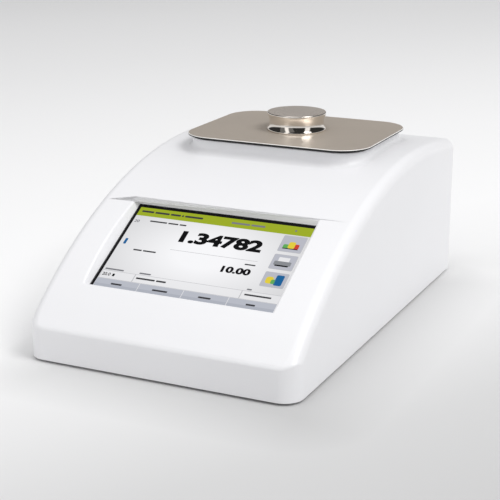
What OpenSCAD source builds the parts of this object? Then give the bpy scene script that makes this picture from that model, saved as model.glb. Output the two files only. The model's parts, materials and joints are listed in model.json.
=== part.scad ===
// Digital bench refractometer with a flat steel sample stage and a loose lid.
// Millimetres. The origin is on the table under the middle of the housing,
// +X to the right, -Y to the front (the screen side), +Z up.

/* [Housing] */
// Width of the moulded housing
body_w = 227; // [215:1:245]
// Depth of the moulded housing
body_d = 360; // [352:1:390]
// Height of the highest line of the roof above the table
crest_z = 132; // [128:1:140]
// Distance of the highest line of the roof in front of the rear face
crest_back = 96; // [90:1:102]
// Radius of the roof in front of its highest line
front_arc_r = 387; // [370:1:410]
// Radius of the roof behind its highest line
rear_arc_r = 600; // [500:10:700]
// Radius of the upright front corners
corner_r = 15.6; // [12:0.2:20]
// Radius of the long edges between roof and sides
edge_r = 9.2; // [7:0.2:12]
// Radius of the edge between roof and front
nose_r = 4; // [2:0.5:6]
// Wall thickness of the housing
wall = 4; // [3:0.5:5]
// Gap between the table and the lower edge of the housing
floor_gap = 2; // [1.5:0.5:4]

/* [Screen] */
// Width of the window where it meets the glass
window_w = 156; // [150:0.2:162]
// Height of the window along the slope where it meets the glass
window_h = 93.8; // [88:0.2:98]
// Flare of the window's walls, in degrees
window_flare = 28.5; // [10:0.5:35]
// Radius of the window's corners at the glass
window_r = 2; // [1:0.5:5]
// Distance of the screen's middle behind the front face
screen_front = 79.5; // [78:0.1:86]
// Depth of the screen's middle straight below the roof
screen_sink = 8.7; // [8.2:0.1:10.2]
// Slope of the screen over that of the roof at its middle, in degrees
screen_lean = 0.65; // [0:0.05:1.5]
// Width of the cover glass and the display module
glass_w = 166; // [164:1:170]
// Height of the cover glass and the display module
glass_h = 104; // [102:1:106]
// Thickness of the cover glass
glass_t = 1.8; // [1:0.1:3]
// Thickness of the display module
lcd_t = 5.7; // [4:0.1:7]
// Sheet thickness of the display carrier
carrier_t = 1.5; // [1:0.1:2]

/* [Sample stage] */
// Width of the steel plate
plate_w = 168; // [160:1:176]
// Depth of the steel plate
plate_d = 131; // [124:1:138]
// Thickness of the steel plate
plate_t = 1.6; // [1:0.1:2.5]
// Corner radius of the steel plate
plate_r = 28; // [20:0.5:32]
// Height of the plate's upper face above the highest line of the roof
plate_rise = 9.8; // [9.4:0.2:14]
// Distance of the plate's middle in front of the rear face
plate_back = 98.2; // [94:0.2:102]
// Overhang of the plate past the plinth
plate_over = 4; // [3:0.5:7]
// Thickness of the black gasket under the plate
gasket_t = 1.6; // [1:0.1:2.5]
// Radius of the hollow blend between plinth and roof
cove_r = 6; // [3:0.5:6]
// Radius of the hole in the plate for the prism bezel
plate_hole_r = 20.3; // [18:0.1:22]

/* [Lid] */
// Radius of the lid's foot and of its top disc
lid_r = 25.8; // [25:0.1:28]
// Height of the lid
lid_h = 16; // [14:0.2:20]
// Radius of the lid's waist
lid_waist_r = 23.9; // [22.6:0.1:24.6]
// Thickness of the lid's top disc at the rim
lid_rim = 2; // [1.4:0.2:4]

/* [Measuring head] */
// Width and depth of the aluminium prism block
block_w = 56; // [54:1:62]
// Height of the prism block
block_h = 30; // [28:1:36]
// Radius of the prism
prism_r = 9; // [8:0.1:10]
// Height of the prism
prism_h = 10; // [8:0.5:11]
// Angle of the two light tubes from the upright, in degrees
beam_angle = 60; // [55:1:63]
// Outer radius of the light tubes
tube_r = 9; // [8:0.5:10]
// Inner radius of the light tubes
tube_bore_r = 5; // [4:0.5:6]
// Thickness of the cooling elements
cooler_t = 3.6; // [3:0.1:5]
// Depth of the heat sinks from base to fin tip
sink_w = 30; // [24:1:34]
// Number of fins on each heat sink
fin_count = 9; // [6:1:11]
// Radius of the pillars under the prism block
pillar_r = 4; // [3:0.5:5]

/* [Rear panel] */
// Sheet thickness of the rear panel
panel_t = 2; // [1.5:0.5:3]
// Width of the housing's rim round the rear panel
panel_rim = 2.6; // [2:0.2:3.5]
// Width of the flange that the rear panel is screwed to
flange_w = 8; // [7:0.5:10]
// Thickness of that flange
flange_t = 3; // [2:0.5:4]
// Size of the square fan
fan_w = 60; // [60:1:62]
// Depth of the fan
fan_t = 20; // [15:1:25]
// Height of the fan's shaft above the table
fan_z = 79; // [76:1:80]
// Sideways place of the fan's shaft
fan_x = 18; // [14:1:22]
// Number of fan blades
blade_count = 7; // [5:1:9]

/* [Power inlet] */
// Distance of the power inlet's middle from the side of the housing
inlet_in = 44.5; // [40:0.5:52]
// Height of the middle of the power inlet above the table
inlet_z = 48; // [44:1:56]
// Width of the inlet's body
inlet_w = 28; // [28:0.5:30]
// Height of the inlet's body
inlet_h = 50; // [50:0.5:54]
// Depth of the inlet's body behind the rear panel
inlet_depth = 24; // [22:1:28]
// Tilt of the rocker to each side, in degrees
rocker_tilt = 10; // [6:1:12]

/* [Base] */
// Sheet thickness of the base plate
base_t = 2; // [1.5:0.5:3]
// Height of the base plate's lower face above the table
base_z = 5; // [4:0.5:7]
// Radius of the rubber feet
foot_r = 10; // [8:0.5:12]
// Distance of the feet from the housing's sides
foot_in = 28; // [24:1:36]
// Radius of the screw bosses in the housing
boss_r = 4.5; // [4:0.5:6]
// Height of the screw bosses above the base plate
boss_h = 22; // [16:1:24]
// Height of the spacers under the circuit boards
spacer_h = 9; // [6:1:12]

/* [Hidden] */
$fn = 64;
arc_fn = 360;
// Overshoot of a cut past the face it goes through
cut = 1;
// Clearance between pieces of one body, and between pieces that slide
fit = 0.2;
slide_fit = 0.3;
// Radial clearance of a shaft in its bearing
shaft_fit = 0.05;

white = [0.95, 0.95, 0.94];
steel = [0.66, 0.64, 0.61];
dark = [0.08, 0.08, 0.09];
zinc = [0.75, 0.76, 0.77];
alu = [0.82, 0.83, 0.84];
green = [0.05, 0.32, 0.18];
pale_grey = [0.8, 0.81, 0.81];
brass = [0.8, 0.65, 0.3];
glass = [0.75, 0.88, 0.92];

front_y = -body_d / 2;
rear_y = body_d / 2;
base_top = base_z + base_t;
inner_w = body_w - 2 * wall;
panel_y = rear_y - panel_t;
crest_y = rear_y - crest_back;
rear_z = roof_z(rear_y);
panel_w = body_w - 2 * panel_rim;
panel_top = rear_z - panel_rim;
flange_top = rear_z - wall - flange_w;

// The nose fillet touches the front face and the front roof arc
nose_y = front_y + nose_r;
nose_z = roof_z(nose_y, -nose_r);
nose_top = on_roof(nose_y, -nose_r);

// The plinth carries the gasket, and the gasket carries the plate
plate_y = rear_y - plate_back;
plate_z = crest_z + plate_rise;
plinth_w = plate_w - 2 * plate_over;
plinth_d = plate_d - 2 * plate_over;
plinth_r = plate_r - plate_over;
plinth_z = plate_z - plate_t - gasket_t;
gasket_in = 1.2;
gasket_edge = 8;
cove_sink = 2;
cove_dip = 0.06;
port_w = block_w + 8;
port_x = port_w + 2 * (cooler_t + sink_w);

// Window, glass and display carrier, in the frame of the sloping screen
screen_y = front_y + screen_front;
screen_z = roof_z(screen_y) - screen_sink;
screen_tilt = asin((crest_y - screen_y) / front_arc_r) + screen_lean;
seat_edge = 8;
carrier_w = glass_w + 2 * seat_edge;
carrier_h = glass_h + 2 * 3;
post_x = glass_w / 2 + seat_edge / 2 + 1;
post_y = glass_h / 2 - 8;
post_r = 3.4;
post_h = glass_t + lcd_t;
screen_screw_r = 1.5;
window_rise = 20;

// Screws of the base plate, the feet and the rear panel
boss_x = inner_w / 2 - 7;
boss_y = [front_y + wall + 14, -6, rear_y - panel_t - flange_t - 12];
screw_r = 2;
screw_l = 12;
head_r = 3.8;
head_h = 1.8;
foot_x = body_w / 2 - foot_in;
foot_y = body_d / 2 - foot_in - 12;
panel_screw_r = 1.5;
small_head_r = 2.8;
small_head_h = 1.6;
panel_screw_x = inner_w / 2 - flange_w / 2;
panel_screw_z = [26, 66, flange_top - 6];

// Fan: shaft, and screw holes from its middle
fan_shaft_r = 1.5;
fan_hole = fan_w / 2 - 5;

// Light path through the prism block
block_top = plate_z - plate_t;
beam_z = block_top - prism_h + 1;
tube_start = block_w / 2 / sin(beam_angle) + 8;
tube_l = 24;
camera_w = 36;
camera_h = 20;
camera_d = 8;
bezel_lip = 0.7;
probe_r = 2;
probe_in = 12;
probe_z = block_top - 10.5;
cooler_w = block_h - 2;
sink_h = block_h + 6;
fin_t = 1.6;
stud_at = block_w / 2 - 7;
stud_r = 2;
stud_l = 8;

// Circuit boards
pcb_t = 1.6;
pcb_z = base_top + spacer_h;
main_w = inner_w - 47;
main_d = 92;
main_x = 4;
main_y = -20;
io_w = 112;
io_d = 50;
io_x = inner_w / 2 - 16.5 - io_w / 2;
io_y = panel_y - 4 - io_d / 2;
driver_w = 26;
driver_d = 88;
driver_gap = 6;
chip_t = 1.6;
socket_t = 8;
sink_in = 0.4;
can_r = 5;
can_h = 12;
board_screw_r = 1.25;
board_screw_in = 5;
board_screw_l = 6;
usb_x = [io_x - io_w / 2 + 15, io_x - io_w / 2 + 31];
usb_w = 13.2;
usb_h = 6;
lan_x = io_x - 3;
lan_w = 15.6;
lan_h = 13;
serial_x = io_x + 30;
serial_w = 18.6;
serial_h = 9.8;
jack_x = 12.5;
jack_r = 1.5;
port_y = panel_y + 1;
supply_w = 54;
supply_d = body_d * 0.29;
supply_h = 32;
supply_in = 12;
usb_z = pcb_z + pcb_t + usb_h / 2 + 0.5;
lan_z = pcb_z + pcb_t + lan_h / 2 + 0.3;
serial_z = pcb_z + pcb_t + 7;

// Power inlet with its rocker above, fuse drawer between and socket below
inlet_x = inlet_in - body_w / 2;
rocker_w = 19;
rocker_r = 7;
rocker_z = inlet_z + inlet_h / 2 - rocker_r - 4;
rocker_y = panel_y + 1;
axle_r = 1.2;
drawer_w = 23;
drawer_h = 8;
drawer_d = 20;
drawer_z = rocker_z - rocker_r - 2.6 - drawer_h / 2;
socket_w = 24.4;
socket_h = 16.4;
socket_z = inlet_z - inlet_h / 2 + 2 + socket_h / 2;
flange_y = rear_y + 2.5;
ear_x = 20;

// Radius of the roof's arc at a given y
function roof_r(y) = y < crest_y ? front_arc_r : rear_arc_r;

// Height over y of the roof, or of a line that keeps a distance from it
function roof_z(y, off = 0) = crest_z - roof_r(y) + sqrt(pow(roof_r(y) + off, 2) - pow(y - crest_y, 2));

// Point of the roof that lies under or over such a line, as [y, z]
function on_roof(y, off) = [
    crest_y + (y - crest_y) * roof_r(y) / (roof_r(y) + off),
    crest_z - roof_r(y) + (roof_z(y, off) - crest_z + roof_r(y)) * roof_r(y) / (roof_r(y) + off)];

// A rectangle with rounded corners, centred
module round_rect(w, d, r) {
    square([w - 2 * r, d], center = true);
    square([w, d - 2 * r], center = true);
    for (x = [-1, 1], y = [-1, 1])
        translate([x * (w / 2 - r), y * (d / 2 - r)]) circle(r);
}

module slab(w, d, h, r) {
    linear_extrude(h) round_rect(w, d, r);
}

// A screw with a round head at its origin and a shank down into -Z
module screw(r, l, head, head_h) {
    translate([0, 0, -l]) cylinder(r = r, h = l + head_h / 2);
    difference() {
        cylinder(r = head, h = head_h);
        translate([0, 0, head_h - 0.8]) cylinder(r = head * 0.45, h = cut, $fn = 6);
    }
}

// Places things in the frame of the screen: +Z out of the glass, +Y up the slope
module on_screen() {
    translate([0, screen_y, screen_z]) rotate([screen_tilt, 0, 0]) children();
}

// Places things on the rear panel: +Z out of the panel, X to the right of the front view
module on_rear(x, z, y = rear_y) {
    translate([x, y, z]) rotate([-90, 0, 0]) children();
}

// Places things along a light tube: side -1 goes to the front, 1 to the rear
module on_beam(side) {
    translate([0, plate_y, beam_z]) rotate([-side * (180 - beam_angle), 0, 0]) children();
}

// Plan of the housing, shrunk by an inset, with its rear edge at a given y
module plan(inset, back) {
    r = corner_r - inset;
    w = body_w - 2 * inset;
    f = front_y + inset;
    translate([-w / 2, f + r]) square([w, back - f - r]);
    translate([-w / 2 + r, f]) square([w - 2 * r, back - f]);
    for (x = [-1, 1]) translate([x * (w / 2 - r), f + r]) circle(r);
}

// Half section of the roof: a disc with rounded rims, shrunk by an inset
module roof_section(arc_r, inset) {
    r = edge_r - inset;
    w = body_w - 2 * inset;
    a = arc_r - inset;
    translate([0, -w / 2]) square([a - r, w]);
    translate([0, -w / 2 + r]) square([a, w - 2 * r]);
    for (y = [-1, 1]) translate([a - r, y * (w / 2 - r)]) circle(r);
}

// Turns a section round the axis of a roof arc: its x is the radius, its y runs along X
module round_roof(arc_r) {
    translate([0, crest_y, crest_z - arc_r]) rotate([0, 90, 0])
        rotate_extrude($fn = arc_fn) children();
}

// Keeps what lies between two values of y and above a height
module between(y0, y1, low) {
    intersection() {
        children();
        translate([-body_w, y0, low]) cube([2 * body_w, y1 - y0, 2 * crest_z]);
    }
}

// The housing's outer form, or its inside when shrunk by the wall
module whale_back(inset, low, back) {
    intersection() {
        translate([0, 0, low]) linear_extrude(crest_z - low + cut) plan(inset, back);
        union() {
            between(-body_d, crest_y, -cut) round_roof(front_arc_r) roof_section(front_arc_r, inset);
            between(crest_y, body_d, -cut) round_roof(rear_arc_r) roof_section(rear_arc_r, inset);
        }
    }
}

// What the nose fillet takes off the sharp front edge
module nose_cut() {
    rotate([90, 0, 90]) translate([0, 0, -body_w]) linear_extrude(2 * body_w) difference() {
        polygon([[front_y - 2, nose_z], [front_y - 2, nose_top[1] + 2], [nose_top[0] - 1, nose_top[1] + 2],
            nose_top, [nose_y, nose_z]]);
        translate([nose_y, nose_z]) circle(nose_r);
    }
}

// Rounded block that rises out of the roof, shrunk by an inset
module plinth(inset, low, top) {
    translate([0, plate_y, low])
        slab(plinth_w - 2 * inset, plinth_d - 2 * inset, top - low, plinth_r - inset);
}

// Section of a hollow blend: wall to the left, roof below, both with some depth to sink in.
// Its circle dips a little into both, so that it crosses them instead of grazing them.
module cove_section(r) {
    difference() {
        translate([-cove_sink, -cove_sink]) square(r + cove_sink);
        translate([r - cove_dip, r - cove_dip]) circle(r);
    }
}

// Blend along a side wall of the plinth, which follows one arc of the roof
module side_cove(side, y0, y1) {
    arc_r = roof_r((y0 + y1) / 2);
    between(y0, y1, crest_z / 2) round_roof(arc_r)
        translate([arc_r, side * plinth_w / 2]) rotate(side > 0 ? 0 : -90) cove_section(cove_r);
}

// Blend along the front wall (end -1) or the rear wall (end 1) of the plinth
module end_cove(end) {
    reach = cove_r - cove_dip;
    wall_y = plate_y + end * plinth_d / 2;
    mid = [wall_y + end * reach, roof_z(wall_y + end * reach, reach)];
    foot = on_roof(mid[0], reach);
    length = plinth_w - 2 * plinth_r;
    rotate([90, 0, 90]) translate([0, 0, -length / 2]) linear_extrude(length) difference() {
        polygon([[wall_y - end * cove_sink, mid[1]], mid, foot, [foot[0], foot[1] - cove_sink],
            [wall_y - end * cove_sink, foot[1] - cove_sink]]);
        translate(mid) circle(cove_r);
    }
}

// Blend round a corner of the plinth: part of a slightly finer ring that is tilted with the roof
module corner_cove(side, end) {
    r = cove_r * 0.93;
    reach = plinth_r + r;
    y = plate_y + end * (plinth_d / 2 - plinth_r);
    drop = roof_z(y, r) - roof_z(y + end * reach, r);
    translate([side * (plinth_w / 2 - plinth_r), y, roof_z(y, r)]) intersection() {
        rotate([-end * atan(drop / reach), 0, 0])
            rotate_extrude() translate([plinth_r, -r]) cove_section(r);
        translate([side * reach, end * reach, 0]) cube(2 * reach, center = true);
    }
}

module plinth_cove() {
    reach = plinth_d / 2 - plinth_r;
    intersection() {
        union() {
            for (side = [-1, 1]) {
                side_cove(side, plate_y - reach, crest_y);
                side_cove(side, crest_y, plate_y + reach);
            }
            for (end = [-1, 1]) {
                end_cove(end);
                for (side = [-1, 1]) corner_cove(side, end);
            }
        }
        translate([0, plate_y, 0]) linear_extrude(plinth_z) square(body_w, center = true);
    }
}

// Window with flared walls, from the glass outwards
module window_cut() {
    grow = 2 * window_rise * tan(window_flare);
    on_screen() {
        hull() {
            slab(window_w, window_h, 0.01, window_r, $fn = 32);
            translate([0, 0, window_rise])
                slab(window_w + grow, window_h + grow, 0.01, window_r + grow / 4, $fn = 32);
        }
        translate([0, 0, -cut]) slab(window_w, window_h, 2 * cut, window_r);
    }
}

module housing_boss(x, y) {
    side = sign(x);
    translate([x, y, base_top]) cylinder(r = boss_r, h = boss_h);
    translate([side > 0 ? x : -inner_w / 2 - fit, y - 1.5, base_top])
        cube([inner_w / 2 + fit - abs(x), 3, boss_h]);
}

module housing() {
    color(white) difference() {
        union() {
            difference() {
                union() {
                    whale_back(0, floor_gap, rear_y);
                    plinth(0, crest_z - 15, plinth_z);
                    plinth_cove();
                }
                whale_back(wall, floor_gap - cut, panel_y - flange_t);
                plinth(wall, crest_z - 20, plinth_z - wall);
                translate([0, 0, floor_gap - cut]) linear_extrude(base_top + fit - floor_gap + cut)
                    plan(wall, rear_y + cut);
            }
            intersection() {
                whale_back(wall / 2, floor_gap, rear_y);
                on_screen() slab(carrier_w, carrier_h, window_rise, 3);
            }
            for (x = [-1, 1], y = boss_y) housing_boss(x * boss_x, y);
            on_screen() for (x = [-1, 1], y = [-1, 1])
                translate([x * post_x, y * post_y, -post_h]) cylinder(r = post_r, h = post_h + cut);
        }
        nose_cut();
        window_cut();
        // opening over the measuring head
        translate([0, plate_y, plinth_z - 2 * wall]) slab(port_x, port_w, 3 * wall, 4);
        // rebate for the rear panel, and the opening inside its flange
        translate([0, rear_y + cut, 0]) rotate([90, 0, 0]) linear_extrude(panel_t + cut)
            panel_outline(0);
        translate([-inner_w / 2 + flange_w, panel_y - flange_t - cut, floor_gap - cut])
            cube([inner_w - 2 * flange_w, flange_t + 2 * cut, flange_top - floor_gap + cut]);
        for (x = [-1, 1], y = boss_y)
            translate([x * boss_x, y, base_top - cut]) cylinder(r = screw_r + fit, h = screw_l + cut);
        for (x = [-1, 1], z = panel_screw_z) on_rear(x * panel_screw_x, z, panel_y - flange_t - cut)
            cylinder(r = panel_screw_r + fit, h = flange_t + 2 * cut);
        on_screen() for (x = [-1, 1], y = [-1, 1])
            translate([x * post_x, y * post_y, -post_h - cut])
                cylinder(r = screen_screw_r + fit, h = post_h + cut);
    }
}

module base_plate() {
    color(zinc) difference() {
        translate([0, 0, base_z]) linear_extrude(base_t) plan(wall + fit, panel_y - fit);
        for (x = [-1, 1], y = boss_y)
            translate([x * boss_x, y, base_z - cut]) cylinder(r = screw_r + fit, h = base_t + 2 * cut);
        for (x = [-1, 1], y = [-1, 1])
            translate([x * foot_x, y * foot_y, base_z - cut])
                cylinder(r = screw_r + fit, h = base_t + 2 * cut);
        // air slots under the heat sinks
        for (x = [-1, 1], i = [-4:4])
            translate([x * (block_w / 2 + sink_w / 2), plate_y + i * 7, base_z - cut])
                slab(sink_w + 4, 3, base_t + 2 * cut, 1.4);
    }
}

module rubber_feet() {
    color(dark) for (x = [-1, 1], y = [-1, 1]) translate([x * foot_x, y * foot_y, 0])
        rotate_extrude() difference() {
            polygon([[0, 0], [foot_r - 1, 0], [foot_r, 1], [foot_r, base_z - 1], [foot_r - 1, base_z],
                [0, base_z]]);
            translate([-cut, -cut]) square([screw_r + fit + cut, base_z + 2 * cut]);
            translate([-cut, -cut]) square([head_r + 0.6 + cut, 2 + cut]);
        }
}

module foot_screws() {
    color(zinc) for (x = [-1, 1], y = [-1, 1]) translate([x * foot_x, y * foot_y, 2])
        rotate([180, 0, 0]) screw(screw_r, base_top + 1.5 - 2, head_r, 1.4);
}

module base_screws() {
    color(zinc) for (x = [-1, 1], y = boss_y) translate([x * boss_x, y, base_z])
        rotate([180, 0, 0]) screw(screw_r, screw_l, head_r, head_h);
}

// Outline of the rear panel in X and Z
module panel_outline(gap) {
    r = edge_r - panel_rim;
    low = floor_gap + 0.4;
    w = panel_w - 2 * gap;
    top = panel_top - gap;
    translate([-w / 2, low]) square([w, top - r - low]);
    translate([-w / 2 + r, low]) square([w - 2 * r, top - low]);
    for (x = [-1, 1]) translate([x * (w / 2 - r), top - r]) circle(r);
}

// Rings of slots in front of the fan
module fan_grille() {
    for (r = [9:5.2:27]) difference() {
        circle(r + 1.7);
        circle(r - 1.7);
        for (a = [0, 90]) rotate(a + 45) square([fan_w, 3], center = true);
    }
}

module rear_panel() {
    color(pale_grey) difference() {
        translate([0, rear_y, 0]) rotate([90, 0, 0]) linear_extrude(panel_t) panel_outline(fit);
        on_rear(fan_x, fan_z, panel_y - cut) linear_extrude(panel_t + 2 * cut) fan_grille();
        for (x = [-1, 1], z = [-1, 1])
            on_rear(fan_x + x * fan_hole, fan_z + z * fan_hole, panel_y - cut)
                cylinder(r = screw_r + fit, h = panel_t + 2 * cut);
        for (x = [-1, 1], z = panel_screw_z)
            on_rear(x * panel_screw_x, z, panel_y - cut)
                cylinder(r = panel_screw_r + fit, h = panel_t + 2 * cut);
        on_rear(inlet_x, inlet_z, panel_y - cut)
            slab(inlet_w + 2 * fit, inlet_h + 2 * fit, panel_t + 2 * cut, 2);
        for (x = [-1, 1]) on_rear(inlet_x + x * ear_x, inlet_z, panel_y - cut)
            cylinder(r = panel_screw_r + fit, h = panel_t + 2 * cut);
        for (x = usb_x) on_rear(x, usb_z, panel_y - cut)
            slab(usb_w + 4 * fit, usb_h + 4 * fit, panel_t + 2 * cut, 0.6);
        on_rear(lan_x, lan_z, panel_y - cut) slab(lan_w + 4 * fit, lan_h + 4 * fit, panel_t + 2 * cut, 0.6);
        on_rear(serial_x, serial_z, panel_y - cut)
            slab(serial_w + 6 * fit, serial_h + 6 * fit, panel_t + 2 * cut, 2);
        for (x = [-1, 1]) on_rear(serial_x + x * jack_x, serial_z, panel_y - cut)
            cylinder(r = jack_r + 1.5 * fit, h = panel_t + 2 * cut);
    }
}

module rear_screws() {
    color(zinc) for (x = [-1, 1], z = panel_screw_z)
        on_rear(x * panel_screw_x, z) screw(panel_screw_r, panel_t + flange_t, small_head_r, small_head_h);
}

module touch_glass() {
    color(dark) on_screen() translate([0, 0, -glass_t]) slab(glass_w, glass_h, glass_t, 2);
}

module display_module() {
    color(zinc) on_screen() translate([0, 0, -glass_t - lcd_t]) difference() {
        slab(glass_w - 1, glass_h - 1, lcd_t, 1);
        translate([0, 0, -cut]) slab(glass_w - 30, glass_h - 30, 1 + cut, 2);
    }
}

// Pressed sheet behind the display, screwed to the housing's posts
module display_carrier() {
    color(alu) on_screen() translate([0, 0, -post_h - carrier_t]) difference() {
        union() {
            slab(carrier_w + 2, carrier_h, carrier_t, 5);
            for (y = [-1, 1]) translate([0, y * (carrier_h / 2 - 1), -5]) slab(glass_w - 20, 2, 5 + cut, 0.5);
        }
        for (x = [-1, 1]) translate([x * glass_w / 4, 0, -cut]) slab(50, 60, carrier_t + 2 * cut, 6);
        for (x = [-1, 1], y = [-1, 1])
            translate([x * post_x, y * post_y, -cut])
                cylinder(r = screen_screw_r + fit, h = carrier_t + 2 * cut);
    }
}

module display_screws() {
    color(zinc) on_screen() for (x = [-1, 1], y = [-1, 1])
        translate([x * post_x, y * post_y, -post_h - carrier_t]) rotate([180, 0, 0])
            screw(screen_screw_r, post_h - 0.5, small_head_r, small_head_h);
}

// Driver board that hangs under the carrier on four spacers
module display_board() {
    color(green) on_screen() translate([0, 0, -post_h - carrier_t]) {
        translate([0, 0, -driver_gap - pcb_t]) {
            slab(driver_w, driver_d, pcb_t, 1);
            for (x = [-1, 1], y = [-1, 1]) translate([x * (driver_w / 2 - 4), y * (driver_d / 2 - 4), 0])
                cylinder(r = 2, h = driver_gap + pcb_t);
            translate([0, driver_d * 0.11, -chip_t]) slab(driver_w / 2, driver_w / 2, chip_t + sink_in, 0.5);
            translate([0, -driver_d * 0.3, -2 * chip_t]) slab(driver_w * 0.8, 5, 2 * chip_t + sink_in, 0.5);
        }
    }
}

module sample_plate() {
    color(steel) translate([0, plate_y, block_top]) difference() {
        slab(plate_w, plate_d, plate_t, plate_r);
        translate([0, 0, -cut]) cylinder(r = plate_hole_r, h = plate_t + 2 * cut);
    }
}

module plate_gasket() {
    color(dark) translate([0, plate_y, plinth_z]) difference() {
        slab(plinth_w - 2 * gasket_in, plinth_d - 2 * gasket_in, gasket_t, plinth_r - gasket_in);
        translate([0, 0, -cut]) slab(plinth_w - 2 * gasket_edge, plinth_d - 2 * gasket_edge,
            gasket_t + 2 * cut, plinth_r - gasket_edge);
    }
}

// Turned lid: flat disc, hollow waist, flared foot and a recess underneath
module lid() {
    waist = lid_r - lid_waist_r;
    foot = 1.4;
    edge = 0.6;
    recess = 2.4;
    sweep = (lid_h - lid_rim - foot) / 2;
    bulge = (pow(sweep, 2) + pow(waist, 2)) / (2 * waist);
    color(steel) translate([0, plate_y, plate_z]) rotate_extrude($fn = 96) difference() {
        union() {
            square([lid_r - edge, lid_h]);
            translate([0, edge]) square([lid_r, lid_h - 2 * edge]);
            for (y = [edge, lid_h - edge]) translate([lid_r - edge, y]) circle(edge);
        }
        intersection() {
            translate([lid_waist_r + bulge, foot + sweep]) circle(bulge, $fn = 128);
            translate([lid_waist_r - 1, foot]) square([waist + 2, 2 * sweep]);
        }
        translate([-cut, -cut]) square([plate_hole_r + 1 + cut, recess + cut]);
    }
}

// Steel dish round the prism, set into the plate
module prism_bezel() {
    color(steel) translate([0, plate_y, block_top]) rotate_extrude($fn = 96)
        polygon([[prism_r - 1.4, 0.9], [prism_r - 1.4, 0.5], [prism_r + 1.2, 0.5], [prism_r + 1.2, 0],
            [plate_hole_r - fit, 0], [plate_hole_r - fit, plate_t + bezel_lip - 0.3],
            [plate_hole_r - fit - 0.3, plate_t + bezel_lip], [plate_hole_r - 3, plate_t + bezel_lip],
            [prism_r + 1, 1]]);
}

module prism() {
    face = prism_r * 0.62;
    color(glass) translate([0, plate_y, block_top]) intersection() {
        translate([0, 0, -prism_h]) cylinder(r = prism_r, h = prism_h);
        rotate([90, 0, 90]) translate([0, 0, -prism_r]) linear_extrude(2 * prism_r)
            polygon([[-prism_r, 0], [prism_r, 0], [prism_r, -3.5], [face, -prism_h], [-face, -prism_h],
                [-prism_r, -3.5]]);
    }
}

module prism_seal() {
    color(dark) translate([0, plate_y, block_top]) rotate_extrude()
        translate([prism_r - 1.2, 0]) square([2.2, 0.5]);
}

// Aluminium block with the prism seat, two angled bosses and the light bores
module prism_block() {
    color(alu) difference() {
        union() {
            translate([0, plate_y, block_top - block_h]) slab(block_w, block_w, block_h, 3);
            intersection() {
                for (s = [-1, 1]) on_beam(s) cylinder(r = tube_r + 1.5, h = tube_start);
                translate([-body_w / 2, 0, block_top - 2 * block_h]) cube([body_w, body_d, 2 * block_h]);
            }
        }
        translate([0, plate_y, block_top - prism_h - 0.5])
            cylinder(r = prism_r + fit, h = prism_h + 0.5 + cut);
        for (s = [-1, 1]) on_beam(s) cylinder(r = tube_bore_r, h = tube_start + cut);
        for (x = [-1, 1], y = [-1, 1])
            translate([x * stud_at, plate_y + y * stud_at, block_top - block_h - cut])
                cylinder(r = stud_r + fit, h = stud_l + 2 + cut);
        translate([block_w / 2 - probe_in, plate_y - block_w / 2 - cut, probe_z]) rotate([-90, 0, 0])
            cylinder(r = probe_r + fit, h = 8 * probe_r + cut);
    }
}

module temperature_sensor() {
    color(steel) translate([block_w / 2 - probe_in, plate_y - block_w / 2, probe_z]) rotate([-90, 0, 0]) {
        cylinder(r = probe_r, h = 7.5 * probe_r);
        translate([0, 0, -3 * probe_r]) cylinder(r = 1.5 * probe_r, h = 3 * probe_r);
    }
}

// Tube with a flange that seats on an angled boss
module beam_tube(l) {
    difference() {
        union() {
            translate([0, 0, tube_start]) cylinder(r = tube_r + 1.5, h = 3);
            translate([0, 0, tube_start]) cylinder(r = tube_r, h = l);
        }
        translate([0, 0, tube_start - cut]) cylinder(r = tube_bore_r, h = l + 2 * cut);
        translate([0, 0, tube_start + 10]) cylinder(r = tube_bore_r + 1.5, h = l);
    }
}

module light_tube() {
    color(dark) on_beam(-1) beam_tube(tube_l);
}

module light_source() {
    color([0.95, 0.8, 0.3]) on_beam(-1) translate([0, 0, tube_start + tube_l]) {
        cylinder(r = tube_r, h = pcb_t);
        translate([0, 0, -5]) cylinder(r = 2.5, h = 5 + cut / 2);
        translate([0, 0, -5]) sphere(2.5);
        for (x = [-1, 1]) translate([x * 1.3, 0, 0]) cylinder(r = 0.4, h = pcb_t + 2);
    }
}

module collimating_lens() {
    rim_r = tube_bore_r + 1.5 - fit / 2;
    ball = 12;
    half = ball - sqrt(pow(ball, 2) - pow(rim_r, 2)) + 0.6;
    color(glass) on_beam(-1) translate([0, 0, tube_start + 10 + half]) intersection() {
        cylinder(r = rim_r, h = 10, center = true);
        translate([0, 0, half - ball]) sphere(ball, $fn = 96);
        translate([0, 0, ball - half]) sphere(ball, $fn = 96);
    }
}

module sensor_tube() {
    color(dark) on_beam(1) {
        beam_tube(tube_l - camera_d);
        translate([0, 0, tube_start + tube_l - camera_d / 2]) difference() {
            cube([camera_w, camera_h, camera_d], center = true);
            cube([camera_w - 6, camera_h - 8, camera_d + cut], center = true);
        }
    }
}

module sensor_board() {
    color(green) on_beam(1) translate([0, 0, tube_start + tube_l]) {
        translate([0, 0, pcb_t / 2]) cube([camera_w + 4, camera_h + 4, pcb_t], center = true);
        translate([0, 0, -1.4]) cube([camera_w - 8, camera_h - 11, 3.2], center = true);
    }
}

module cooling_elements() {
    color([0.9, 0.9, 0.88]) for (x = [-1, 1])
        translate([x * (block_w / 2 + cooler_t / 2), plate_y, block_top - block_h / 2])
            cube([cooler_t, cooler_w, cooler_w], center = true);
}

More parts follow.
